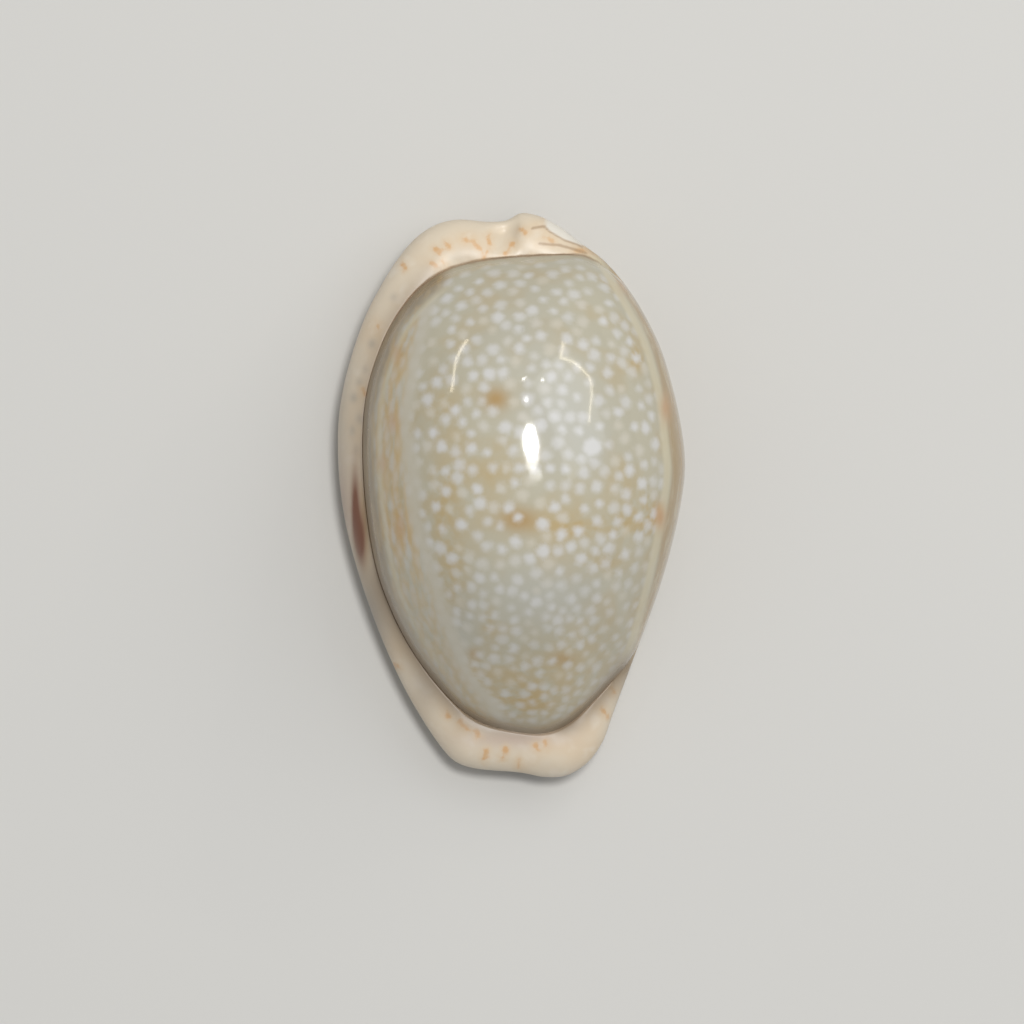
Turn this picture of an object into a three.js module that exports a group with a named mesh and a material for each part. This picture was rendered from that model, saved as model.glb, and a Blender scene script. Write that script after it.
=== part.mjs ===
// An adult cowrie shell, lying on its base: millimetres, +Y towards the spire end, +Z up.
// One hollow wall of shell, open along the base through a narrow toothed aperture.
import * as THREE from "three";

// driving dimensions
const shellHeight = 18.8;
const domeCentre = new THREE.Vector2(0.8, 2.0); // the highest point, seen from above
const domePower = 2.05; // 2 is an ellipse, more is fuller
const crownRadii = new THREE.Vector2(11.4, 16.6); // of the level lines near the top
const crownFullness = 0.5;
const crownFade = [0.25, 0.95]; // shares of the way down over which the foot's own shape takes over
const crest = { y: 1.5, halfLength: 10 }; // the line along the top that the columns start from
const valleyDepth = 0.15; // between the raised edge of the callus and the dome
const valleyWidth = 1.3;
const baseRounding = 0.95; // how far in the base turns flat, as a share of the rim's height
const basePower = 2.3;

const notchX = -0.45; // the dip between the two lobes at the spire end
const notchWidth = 0.85;
const notchDepth = 0.9;
const notchSpan = [16.8, 19]; // how far along the shell it deepens

const apertureMiddle = { x: -1.75, y: 3, bow: 0.005 }; // bowed, by this much per mm squared
const apertureHalfWidth = 2.2; // where the lips start to turn in
const canalHalfWidth = 1.5; // at the two ends
const canalTaper = [12, 18.5]; // how far from the middle the aperture narrows to the canals
const apertureEnds = { spire: 18.8, front: -19.1 };
const canalRoofs = { spire: 3.9, front: 2.6 };
const teeth = { outerLip: 16, innerLip: 14 };
const lipBulge = 0.95;
const toothHeight = 0.5;
const ribDepth = 0.45;
const ribLength = 3.4;
const ribClear = 1.5; // mm in from the rim over which the ribs grow

const cavityCentre = new THREE.Vector3(-1.5, 0.5, 8);
const cavityScale = new THREE.Vector3(0.78, 0.74, 0.86); // of the outside
const lipDepth = 3.2; // thickness of the base at the lips

// mesh fineness
const columns = 144; // around the shell, half of them on each side of the aperture
const canalColumns = 8; // of each side's, those that turn over a canal's roof
const fineSteps = 60; // along a stretch before its points are spread evenly
const domeRows = 9;
const marginRows = 4;
const baseRows = 6;
const lipRows = 4;
const cavityRows = 8;

// the outline from above, clockwise from the notch at the spire end round to it again
const outline = [
  [-0.3, 19.5],
  [0.7, 20.0],
  [2.1, 19.75],
  [3.5, 19.0],
  [4.9, 17.9],
  [6.6, 16.6],
  [8.3, 14.6],
  [9.7, 12.3],
  [10.8, 9.8],
  [12.0, 5.0],
  [12.3, 2.1],
  [12.0, -0.6],
  [10.8, -5.6],
  [9.05, -10.6],
  [7.2, -15.6],
  [6.5, -17.5],
  [5.4, -19.0],
  [3.9, -19.9],
  [2.4, -20.0],
  [0.7, -19.7],
  [-2.5, -19.4],
  [-3.8, -19.0],
  [-4.7, -18.2],
  [-7.4, -14.0],
  [-10.0, -8.0],
  [-11.8, -1.7],
  [-12.3, 3.4],
  [-12.0, 7.2],
  [-10.5, 12.3],
  [-9.2, 14.9],
  [-8.0, 16.8],
  [-6.7, 18.3],
  [-5.3, 19.2],
  [-3.8, 19.55],
  [-1.6, 19.4],
];
const frontExit = 19; // index of the point where the front canal leaves the outline

// the foot of the dome: the outline itself down the right side, then inside the rim of callus
const domeOutline = [
  ...outline.slice(6, 13),
  [9.3, -9.9],
  [8.3, -11.8],
  [6.9, -13.4],
  [5.4, -15.0],
  [3.9, -16.3],
  [2.2, -16.9],
  [0.0, -16.7],
  [-1.9, -16.2],
  [-3.4, -15.3],
  [-4.8, -13.9],
  [-6.1, -12.3],
  [-7.4, -10.3],
  [-8.6, -7.8],
  [-9.5, -5.2],
  [-10.2, -1.0],
  [-10.45, 3.6],
  [-10.2, 7.0],
  [-9.5, 9.6],
  [-8.4, 12.1],
  [-6.7, 14.4],
  [-4.8, 15.8],
  [-2.5, 16.5],
  [0.0, 16.8],
  [3.0, 16.95],
  [5.2, 16.9],
  [6.8, 16.0],
];

// what changes around the shell: degrees from +X, anticlockwise, then the value
// how high the widest part of the side stands, mm
const rimHeights = [
  [0, 5.8],
  [60, 5.6],
  [80, 5.0],
  [95, 4.8],
  [120, 4.5],
  [160, 3.7],
  [200, 3.6],
  [240, 3.4],
  [268, 3.3],
  [290, 3.7],
  [315, 5.2],
  [340, 5.8],
];
// the callus above the rim: how far it rises, and over what width, mm
const calluses = [
  [0, 1.6, 1.5],
  [60, 1.7, 1.6],
  [80, 2.0, 2.4],
  [100, 2.1, 2.6],
  [125, 2.4, 2.6],
  [150, 3.0, 2.6],
  [190, 3.3, 2.6],
  [225, 2.9, 2.6],
  [250, 2.3, 2.9],
  [270, 2.0, 2.9],
  [290, 1.9, 2.4],
  [310, 1.6, 1.8],
];
// how the dome meets its foot: 0.5 is upright, 1 a slope
const fullness = [
  [0, 0.47],
  [40, 0.47],
  [60, 0.5],
  [75, 0.65],
  [90, 0.72],
  [110, 0.72],
  [130, 0.62],
  [150, 0.55],
  [190, 0.52],
  [225, 0.56],
  [250, 0.7],
  [270, 0.85],
  [290, 0.8],
  [305, 0.6],
  [320, 0.5],
  [340, 0.47],
];

const turn = 2 * Math.PI;
const clamp01 = (t) => THREE.MathUtils.clamp(t, 0, 1);
const ease = (from, to, t) => THREE.MathUtils.smoothstep(t, from, to);

// the value at an angle, eased from each station to the next
function around(stations, angle, entry = 1) {
  const degrees = THREE.MathUtils.euclideanModulo(THREE.MathUtils.radToDeg(angle), 360);
  let i = stations.length - 1;
  while (stations[i][0] > degrees) i--;
  const next = stations[(i + 1) % stations.length];
  const to = next[0] || 360;
  return THREE.MathUtils.lerp(stations[i][entry], next[entry], ease(stations[i][0], to, degrees));
}

// a closed curve's distance from the dome's centre, in every direction
const polarSteps = 1440;

function closedCurve(points) {
  const corners = points.map(([x, y]) => new THREE.Vector3(x, y, 0));
  return new THREE.CatmullRomCurve3(corners, true, "centripetal");
}

function polarRadii(curve) {
  const samples = curve.getPoints(polarSteps * 4).map((p) => {
    const dx = p.x - domeCentre.x;
    const dy = p.y - domeCentre.y;
    return { angle: (Math.atan2(dy, dx) + turn) % turn, radius: Math.hypot(dx, dy) };
  });
  samples.sort((a, b) => a.angle - b.angle);
  const last = samples[samples.length - 1];
  const ring = [{ ...last, angle: last.angle - turn }, ...samples];
  ring.push({ ...samples[0], angle: samples[0].angle + turn });
  let i = 0;
  return Array.from({ length: polarSteps }, (_, k) => {
    const angle = (k * turn) / polarSteps;
    while (ring[i + 1].angle < angle) i++;
    const share = (angle - ring[i].angle) / (ring[i + 1].angle - ring[i].angle || 1);
    return THREE.MathUtils.lerp(ring[i].radius, ring[i + 1].radius, share);
  });
}

function radiusAt(radii, angle) {
  const at = (THREE.MathUtils.euclideanModulo(angle, turn) / turn) * polarSteps;
  const k = Math.floor(at);
  return THREE.MathUtils.lerp(radii[k % polarSteps], radii[(k + 1) % polarSteps], at - k);
}

const outlineCurve = closedCurve(outline);
const outlineRadii = polarRadii(outlineCurve);
const domeRadii = polarRadii(closedCurve(domeOutline));

// where a point lies, seen from above: its direction and distance from the dome's centre,
// the radii of the outline and of the dome's foot there, and its distance in from the outline
function place(x, y) {
  const angle = Math.atan2(y - domeCentre.y, x - domeCentre.x);
  const radius = Math.hypot(x - domeCentre.x, y - domeCentre.y);
  const edge = radiusAt(outlineRadii, angle);
  const foot = Math.min(edge, radiusAt(domeRadii, angle));
  const step = turn / 180;
  const rise = radiusAt(outlineRadii, angle + step) - radiusAt(outlineRadii, angle - step);
  const squareness = 1 / Math.hypot(1, rise / (2 * step * edge));
  const inward = Math.max(0, edge - radius) * squareness;
  return { angle, radius, foot, inward, footInward: (edge - foot) * squareness };
}

// a quarter of a superellipse: 0 at the rim, 1 at t = 1
function arc(t, power) {
  return Math.pow(Math.max(0, 1 - Math.pow(1 - clamp01(t), power)), 1 / power);
}

// the callus: a rounded edge above the rim, then a shallow valley where it is wide
function callusHeight(angle, inward) {
  const width = around(calluses, angle, 2);
  const valley = valleyDepth * ease(width, width + valleyWidth, inward);
  return around(rimHeights, angle) + around(calluses, angle, 1) * arc(inward / width, 2) - valley;
}

function topHeight(x, y) {
  const at = place(x, y);
  if (at.radius > at.foot) {
    // the open groove between the two lobes at the spire end
    const notch = notchDepth * Math.exp(-(((x - notchX) / notchWidth) ** 2)) * ease(...notchSpan, y);
    return callusHeight(at.angle, at.inward) - notch * ease(0, 1, at.inward);
  }
  // level lines are ellipses near the top, and follow the dome's foot lower down
  const crown = 1 / Math.hypot(Math.cos(at.angle) / crownRadii.x, Math.sin(at.angle) / crownRadii.y);
  const lowness = ease(...crownFade, at.radius / at.foot);
  const reach = THREE.MathUtils.lerp(crown, at.foot, lowness);
  const sharpness = THREE.MathUtils.lerp(crownFullness, around(fullness, at.angle), lowness);
  const low = callusHeight(at.angle, at.footInward);
  const fall = 1 - Math.min(1, at.radius / reach) ** domePower;
  return low + (shellHeight - low) * fall ** sharpness;
}

// the aperture's middle line and half width
const apertureX = (y) => apertureMiddle.x + apertureMiddle.bow * (y - apertureMiddle.y) ** 2;
const apertureHalf = (y) =>
  THREE.MathUtils.lerp(apertureHalfWidth, canalHalfWidth, ease(...canalTaper, Math.abs(y)));

function baseHeight(x, y) {
  const at = place(x, y);
  const rim = around(rimHeights, at.angle);
  const base = rim * (1 - arc(at.inward / (baseRounding * rim), basePower));
  // the roof of the canal where the aperture runs out through an end
  const across = (x - apertureX(y)) / apertureHalf(y);
  const roof = y > 0 ? canalRoofs.spire : canalRoofs.front;
  return Math.max(base, Math.abs(across) < 1 ? roof * Math.sqrt(1 - across ** 2) : 0);
}

// a column runs from the crest of the dome down to the rim, in under the base to the lip,
// round the lip and back up inside; s is 0 at the notch, 0.5 at the front and 1 at the notch
const canalShare = canalColumns / columns;

function column(s) {
  const side = s <= 0.5 ? 1 : -1; // the right side first: the inner lip's
  const along = side > 0 ? 2 * s : 2 - 2 * s; // 0 at the spire end, 1 at the front
  const front = frontExit / outline.length;
  const curveT = side > 0 ? along * front : 1 - along * (1 - front);
  const onCurve = outlineCurve.getPoint(curveT);
  const angle = Math.atan2(onCurve.y - domeCentre.y, onCurve.x - domeCentre.x);
  const rimPoint = new THREE.Vector2(Math.cos(angle), Math.sin(angle))
    .multiplyScalar(radiusAt(outlineRadii, angle))
    .add(domeCentre);

  const crestY = crest.y + crest.halfLength * Math.cos(Math.PI * along);
  const crestPoint = new THREE.Vector2(domeCentre.x, crestY);
  const opening = clamp01(Math.min(along, 1 - along) / canalShare) * (Math.PI / 2);
  const lipShare = clamp01((along - canalShare / 2) / (1 - canalShare));
  const lipY = THREE.MathUtils.lerp(apertureEnds.spire, apertureEnds.front, lipShare);
  const lip = new THREE.Vector2(
    apertureX(lipY) + side * apertureHalf(lipY) * Math.sin(opening),
    lipY,
  );

  // teeth: 1 on a tooth, 0 between two, none on a canal's roof
  const count = side > 0 ? teeth.innerLip : teeth.outerLip;
  const onLip = clamp01((along - canalShare) / (1 - 2 * canalShare));
  const tooth = 0.5 - 0.5 * Math.cos(turn * count * onLip);
  const inwards = new THREE.Vector3(-side * Math.sin(opening), 0, -Math.cos(opening));
  return { rimPoint, crestPoint, lip, tooth, inwards, lipY };
}

// spread points evenly along a fine path
function evenly(path, count) {
  const lengths = [0];
  for (let i = 1; i < path.length; i++)
    lengths.push(lengths[i - 1] + path[i].distanceTo(path[i - 1]));
  let i = 0;
  return Array.from({ length: count + 1 }, (_, k) => {
    const target = (lengths[path.length - 1] * k) / count;
    while (i < path.length - 2 && lengths[i + 1] < target) i++;
    const share = (target - lengths[i]) / (lengths[i + 1] - lengths[i] || 1);
    return path[i].clone().lerp(path[i + 1], clamp01(share));
  });
}

const leastCallus = 0.9; // mm kept for the callus's rows where the dome comes down to the rim
const halvings = 30;

// how far along the way from crest to rim the dome ends and the callus begins
function footShare(c) {
  let low = 0.5;
  let high = 1;
  for (let i = 0; i < halvings; i++) {
    const middle = (low + high) / 2;
    const p = c.crestPoint.clone().lerp(c.rimPoint, middle);
    const at = place(p.x, p.y);
    if (at.radius < at.foot && at.inward > leastCallus) low = middle;
    else high = middle;
  }
  return low;
}

function outsidePoints(c) {
  const dome = [];
  const margin = [];
  const base = [];
  const split = Math.asin(footShare(c));
  const onTop = (share) => {
    const p = c.crestPoint.clone().lerp(c.rimPoint, share);
    return new THREE.Vector3(p.x, p.y, topHeight(p.x, p.y));
  };
  for (let i = 0; i <= fineSteps; i++) {
    const t = i / fineSteps;
    dome.push(onTop(Math.sin(split * t)));
    margin.push(onTop(Math.sin(THREE.MathUtils.lerp(split, Math.PI / 2, t))));
    const under = c.lip.clone().lerp(c.rimPoint, Math.cos((Math.PI / 2) * t));
    const fromLip = under.distanceTo(c.lip);
    const ribShare = (1 - ease(0, ribLength, fromLip)) * ease(0, ribClear, under.distanceTo(c.rimPoint));
    const rib = ribDepth * (1 - c.tooth) * ribShare;
    base.push(new THREE.Vector3(under.x, under.y, baseHeight(under.x, under.y) + rib));
  }
  return [
    ...evenly(dome, domeRows),
    ...evenly(margin, marginRows).slice(1),
    ...evenly(base, baseRows).slice(1),
  ];
}

// the cavity is the outside again, smaller about a point inside, and shallower towards the base
function cavityPoint(p) {
  const deep = (cavityCentre.z - lipDepth) / cavityCentre.z;
  const scale = cavityScale.clone().setZ(p.z < cavityCentre.z ? deep : cavityScale.z);
  return p.clone().sub(cavityCentre).multiply(scale).add(cavityCentre);
}

function columnPoints(s) {
  const c = column(s);
  const outside = outsidePoints(c);
  const outerEdge = outside[outside.length - 1];
  const smooth = outerEdge.clone().setZ(baseHeight(outerEdge.x, outerEdge.y));
  const innerEdge = cavityPoint(smooth);
  const middle = outerEdge.clone().lerp(innerEdge, 0.5);
  const half = outerEdge.clone().sub(middle);
  const bulge = (lipBulge * apertureHalf(c.lipY)) / apertureHalfWidth + toothHeight * c.tooth;
  const lip = [];
  for (let i = 1; i < lipRows; i++) {
    const angle = (Math.PI * i) / lipRows;
    lip.push(
      middle
        .clone()
        .addScaledVector(half, Math.cos(angle))
        .addScaledVector(c.inwards, bulge * Math.sin(angle)),
    );
  }
  const inside = evenly([...outside].reverse().map(cavityPoint), cavityRows);
  inside[0] = innerEdge;
  return [...outside, ...lip, ...inside];
}

// join the columns into one closed surface; the first and last rows are ridge lines,
// where the columns of the two sides meet
function shellGeometry() {
  const grid = Array.from({ length: columns }, (_, j) => columnPoints(j / columns));
  const rows = grid[0].length;
  const positions = [];
  const indexOf = [];
  for (let i = 0; i < rows; i++) {
    indexOf.push([]);
    for (let j = 0; j < columns; j++) {
      const isRidge = i === 0 || i === rows - 1;
      if (isRidge && j > columns / 2) {
        indexOf[i].push(indexOf[i][columns - j]);
        continue;
      }
      indexOf[i].push(positions.length / 3);
      positions.push(...grid[j][i].toArray());
    }
  }
  const faces = [];
  const addFace = (a, b, c) => {
    if (a !== b && b !== c && c !== a) faces.push(a, b, c);
  };
  for (let i = 0; i + 1 < rows; i++) {
    for (let j = 0; j < columns; j++) {
      const next = (j + 1) % columns;
      const [a, b] = [indexOf[i][j], indexOf[i][next]];
      const [d, c] = [indexOf[i + 1][j], indexOf[i + 1][next]];
      addFace(a, b, c);
      addFace(a, c, d);
    }
  }
  const geometry = new THREE.BufferGeometry();
  geometry.setAttribute("position", new THREE.Float32BufferAttribute(positions, 3));
  geometry.setIndex(faces);
  geometry.computeVertexNormals();
  return geometry;
}

const porcelain = new THREE.MeshStandardMaterial({ color: 0xb9b29a, roughness: 0.12, metalness: 0 });
const shell = new THREE.Mesh(shellGeometry(), porcelain);
shell.name = "shell";

const cowrie = new THREE.Group();
cowrie.add(shell);

export default cowrie;
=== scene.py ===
import math

import bmesh
import bpy
import numpy as np
from mathutils import Matrix, Vector
from mathutils.kdtree import KDTree


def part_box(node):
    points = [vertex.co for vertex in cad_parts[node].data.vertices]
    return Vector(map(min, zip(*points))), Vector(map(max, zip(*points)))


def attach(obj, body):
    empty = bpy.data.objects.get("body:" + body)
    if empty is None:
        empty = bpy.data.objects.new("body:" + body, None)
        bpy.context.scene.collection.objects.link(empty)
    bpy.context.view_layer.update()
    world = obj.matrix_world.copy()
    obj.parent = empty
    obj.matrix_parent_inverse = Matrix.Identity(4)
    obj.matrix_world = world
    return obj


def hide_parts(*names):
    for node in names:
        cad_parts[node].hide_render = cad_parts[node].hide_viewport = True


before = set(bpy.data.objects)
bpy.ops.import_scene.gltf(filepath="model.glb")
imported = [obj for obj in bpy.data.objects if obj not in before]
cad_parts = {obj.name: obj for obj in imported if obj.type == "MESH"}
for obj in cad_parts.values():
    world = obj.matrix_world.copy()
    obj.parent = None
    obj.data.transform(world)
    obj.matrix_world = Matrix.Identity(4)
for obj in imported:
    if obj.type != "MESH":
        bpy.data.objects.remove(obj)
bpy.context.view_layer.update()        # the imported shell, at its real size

low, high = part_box("shell")
mm = 0.001

# the shell's shape, in mm

shape = {
    "height": (high[2] - low[2]) / mm,
    "domeCentre": (0.8, 2.0),       # the highest point, seen from above
    "domePower": 2.05,              # fullness of the dome: 2 is an ellipse
    "crownRadii": (11.4, 16.6),     # of the level lines near the top
    "crownFullness": 0.5,
    "crownFade": (0.25, 0.95),      # shares of the way down over which the foot takes over
    "footFade": (0.6, 0.92),        # and those over which its finer bends do
    "crest": (1.5, 10),             # the line along the top: its middle and half its length
    "valleyDepth": 0.15,            # between the raised edge of the callus and the dome
    "valleyWidth": 1.3,
    "lapDepth": 0.14,               # the step down where the callus laps onto the dome
    "lapWidth": 0.3,
    "notch": (-0.45, 0.85, 0.9),    # the dip at the spire end: its x, width and depth
    "notchSpan": (16.8, 19),        # the y over which it deepens
    "baseRounding": 0.95,           # how far in the base turns flat, as a share of the rim's height
    "basePower": 2.3,
    "leastCallus": 0.9,
    "canalRoofs": (3.9, 2.6),       # at the spire end and at the front
    "canalShare": 1 / 18,           # of each side's columns, those that turn over a canal's roof
    "apertureMiddle": (-1.75, 3),
    "apertureBow": 0.005,           # how far its ends curve towards +X, per mm squared
    "apertureTaper": (12, 18.5),    # the y over which it narrows to the canals
    "apertureEnds": (18.8, -19.1),
    "apertureHalfWidth": 2.2,
    "canalHalfWidth": 1.5,
    "innerTeeth": 14,
    "outerTeeth": 16,
    "lipBulge": 0.95,
    "toothHeight": 0.5,
    "ribDepth": 0.45,
    "ribLength": 3.4,
    "ribClear": 1.5,                # how far in from the rim the ribs are full
    "cavityCentre": (-1.5, 0.5, 8.0),
    "cavityScale": (0.78, 0.74, 0.86),
    "lipDepth": 3.2,
}

# how finely each stretch of the surface is divided, from the crest to the cavity's roof
fineness = {"around": 512, "dome": 98, "margin": 28, "base": 36, "lip": 10, "cavity": 14}

# the outline from above, clockwise from the notch at the spire end round to it again
outline = [
    (-0.3, 19.5), (0.7, 20.0), (2.1, 19.75), (3.5, 19.0), (4.9, 17.9), (6.6, 16.6), (8.3, 14.6),
    (9.7, 12.3), (10.8, 9.8), (12.0, 5.0), (12.3, 2.1), (12.0, -0.6), (10.8, -5.6), (9.05, -10.6),
    (7.2, -15.6), (6.5, -17.5), (5.4, -19.0), (3.9, -19.9), (2.4, -20.0), (0.7, -19.7),
    (-2.5, -19.4), (-3.8, -19.0), (-4.7, -18.2), (-7.4, -14.0), (-10.0, -8.0), (-11.8, -1.7),
    (-12.3, 3.4), (-12.0, 7.2), (-10.5, 12.3), (-9.2, 14.9), (-8.0, 16.8), (-6.7, 18.3),
    (-5.3, 19.2), (-3.8, 19.55), (-1.6, 19.4),
]
frontExit = 19  # where the front canal leaves the outline

# the foot of the dome: the outline itself down the right side, then inside the rim of callus
domeOutline = outline[6:13] + [
    (9.3, -9.9), (8.3, -11.8), (6.9, -13.4), (5.4, -15.0), (3.9, -16.3), (2.2, -16.9),
    (0.0, -16.7), (-1.9, -16.2), (-3.4, -15.3), (-4.8, -13.9), (-6.1, -12.3), (-7.4, -10.3),
    (-8.6, -7.8), (-9.5, -5.2), (-10.2, -1.0), (-10.45, 3.6), (-10.2, 7.0), (-9.5, 9.6),
    (-8.4, 12.1), (-6.7, 14.4), (-4.8, 15.8), (-2.5, 16.5), (0.0, 16.8), (3.0, 16.95),
    (5.2, 16.9), (6.8, 16.0),
]

# what changes around the shell: degrees from +X, anticlockwise, then the value
rimHeights = [  # how high the widest part of the side stands
    (0, 5.8), (60, 5.6), (80, 5.0), (95, 4.8), (120, 4.5), (160, 3.7), (200, 3.6), (240, 3.4),
    (268, 3.3), (290, 3.7), (315, 5.2), (340, 5.8),
]
callusRises = [
    (0, 1.6), (60, 1.7), (80, 2.0), (100, 2.1), (125, 2.4), (150, 3.0), (190, 3.3), (225, 2.9),
    (250, 2.3), (270, 2.0), (290, 1.9), (310, 1.6),
]
callusWidths = [
    (0, 1.5), (60, 1.6), (80, 2.4), (100, 2.6), (125, 2.6), (150, 2.6), (190, 2.6), (225, 2.6),
    (250, 2.9), (270, 2.9), (290, 2.4), (310, 1.8),
]
fullness = [  # how the dome meets its foot: 0.5 is upright, 1 a slope
    (0, 0.47), (40, 0.47), (60, 0.5), (75, 0.65), (90, 0.72), (110, 0.72), (130, 0.62), (150, 0.55),
    (190, 0.52), (225, 0.56), (250, 0.7), (270, 0.85), (290, 0.8), (305, 0.6), (320, 0.5), (340, 0.47),
]


def ease(start, end, t):
    s = np.clip((t - start) / (end - start), 0, 1)
    return s * s * (3 - 2 * s)


def mix(a, b, t):
    return a + (b - a) * t


def smoothCurve(points, perSpan=60, closed=True):  # centripetal, through every point
    p = np.array(points, float)
    if closed:
        p = np.vstack([p[-1], p, p[0], p[1]])
    else:
        p = np.vstack([2 * p[0] - p[1], p, 2 * p[-1] - p[-2]])
    t = np.linspace(0, 1, perSpan, endpoint=False)[:, None]
    spans = []
    for a, b, c, d in zip(p, p[1:], p[2:], p[3:]):
        ab, bc, cd = (math.sqrt(math.dist(m, n)) for m, n in ((a, b), (b, c), (c, d)))
        slopeB = ((b - a) / ab - (c - a) / (ab + bc) + (c - b) / bc) * bc
        slopeC = ((c - b) / bc - (d - b) / (bc + cd) + (d - c) / cd) * bc
        spans.append(b + slopeB * t + (3 * (c - b) - 2 * slopeB - slopeC) * t**2
                     + (2 * (b - c) + slopeB + slopeC) * t**3)
    return np.vstack(spans + ([] if closed else [p[-2]]))


centreX, centreY = shape["domeCentre"]
directions = np.linspace(0, 2 * math.pi, 2881)


def radiiOf(points):  # a closed curve's distance from the dome's centre, in every direction
    curve = smoothCurve(points)
    angle = np.arctan2(curve[:, 1] - centreY, curve[:, 0] - centreX) % (2 * math.pi)
    radius = np.hypot(curve[:, 0] - centreX, curve[:, 1] - centreY)
    return np.interp(directions, *(a[np.argsort(angle)] for a in (angle, radius)), period=2 * math.pi)


def smoothed(table, degrees):  # evened out round the circle
    steps = np.arange(-180 * 8, 180 * 8)
    weights = np.exp(-0.5 * (steps / (8 * degrees)) ** 2)
    ring = np.convolve(np.tile(table[:-1], 3), weights / weights.sum(), "same")[2880:5760]
    return np.append(ring, ring[0])


outlineRadii = radiiOf(outline)
domeRadii = np.minimum(smoothed(np.minimum(radiiOf(domeOutline), outlineRadii), 1.5), outlineRadii)
calmRadii = smoothed(domeRadii, 9)
edgeCosine = 1 / np.hypot(1, np.gradient(outlineRadii, directions) / outlineRadii)


def around(table, angle):
    return np.interp(angle % (2 * math.pi), directions, table)


def tableOf(stations):  # eased from each station to the next
    rows = np.array(stations + [(360, stations[0][1])], float)
    degrees = np.degrees(directions)
    i = np.clip(np.searchsorted(rows[:, 0], degrees, side="right") - 1, 0, len(rows) - 2)
    return smoothed(mix(rows[i, 1], rows[i + 1, 1], ease(rows[i, 0], rows[i + 1, 0], degrees)), 4)


rimTable, riseTable, widthTable, fullnessTable = map(
    tableOf, (rimHeights, callusRises, callusWidths, fullness))


def arc(t, power):  # a quarter of a superellipse: 0 at the rim, 1 at t = 1
    return np.maximum(0, 1 - (1 - np.clip(t, 0, 1)) ** power) ** (1 / power)


def place(x, y):
    angle = np.arctan2(y - centreY, x - centreX)
    radius = np.hypot(x - centreX, y - centreY)
    edge, foot = around(outlineRadii, angle), around(domeRadii, angle)
    square = around(edgeCosine, angle)
    return {"angle": angle, "radius": radius, "foot": foot,
            "inward": np.maximum(0, edge - radius) * square, "footInward": (edge - foot) * square}


def callusHeight(angle, inward):  # a rounded edge above the rim, then a shallow valley
    width = around(widthTable, angle)
    valley = shape["valleyDepth"] * ease(width, width + shape["valleyWidth"], inward)
    return around(rimTable, angle) + around(riseTable, angle) * arc(inward / width, 2) - valley


footLevels = callusHeight(directions, (outlineRadii - domeRadii) * edgeCosine)
calmLevels = smoothed(footLevels, 6)


def topHeight(x, y):
    at = place(x, y)
    angle, radius, foot = at["angle"], at["radius"], at["foot"]
    notchX, notchWidth, notchDepth = shape["notch"]
    notch = notchDepth * np.exp(-(((x - notchX) / notchWidth) ** 2)) * ease(*shape["notchSpan"], y)
    callus = callusHeight(angle, at["inward"]) - notch * ease(0, 1, at["inward"])
    # level lines are ellipses near the top, and follow the dome's foot lower down
    crownX, crownY = shape["crownRadii"]
    crown = 1 / np.hypot(np.cos(angle) / crownX, np.sin(angle) / crownY)
    lowness = ease(*shape["crownFade"], radius / foot)
    calm = mix(around(calmRadii, angle), foot, ease(*shape["footFade"], radius / foot))
    reach = mix(crown, calm, lowness)
    sharpness = mix(shape["crownFullness"], around(fullnessTable, angle), lowness)
    low = mix(around(calmLevels, angle), around(footLevels, angle), ease(0.7, 1, radius / foot))
    fall = 1 - np.minimum(1, radius / reach) ** shape["domePower"]
    dome = low + (shape["height"] - low) * fall**sharpness
    lap = shape["lapDepth"] * np.exp(-(((foot - radius) / shape["lapWidth"]) ** 2))
    return np.where(radius < foot, dome - lap * ease(0.2, 1.0, at["footInward"]), callus)


def apertureX(y):
    middleX, middleY = shape["apertureMiddle"]
    return middleX + shape["apertureBow"] * (y - middleY) ** 2


def apertureHalf(y):
    narrowing = ease(*shape["apertureTaper"], np.abs(y))
    return mix(shape["apertureHalfWidth"], shape["canalHalfWidth"], narrowing)


def baseHeight(x, y):
    at = place(x, y)
    rim = around(rimTable, at["angle"])
    base = rim * (1 - arc(at["inward"] / (shape["baseRounding"] * rim), shape["basePower"]))
    across = (x - apertureX(y)) / apertureHalf(y)
    roof = np.where(y > 0, *shape["canalRoofs"])
    return np.maximum(base, roof * np.sqrt(np.clip(1 - across**2, 0, None)))


def evenly(path, count):  # spread points evenly along each fine path: columns x points x 3
    lengths = np.linalg.norm(np.diff(path, axis=1), axis=2)
    lengths = np.concatenate([np.zeros((len(path), 1)), np.cumsum(lengths, axis=1)], axis=1)
    out = np.empty((len(path), count + 1, 3))
    for j, (line, run) in enumerate(zip(path, lengths)):
        wanted = np.linspace(0, run[-1], count + 1)
        for k in range(3):
            out[j, :, k] = np.interp(wanted, run, line[:, k])
    return out


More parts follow.
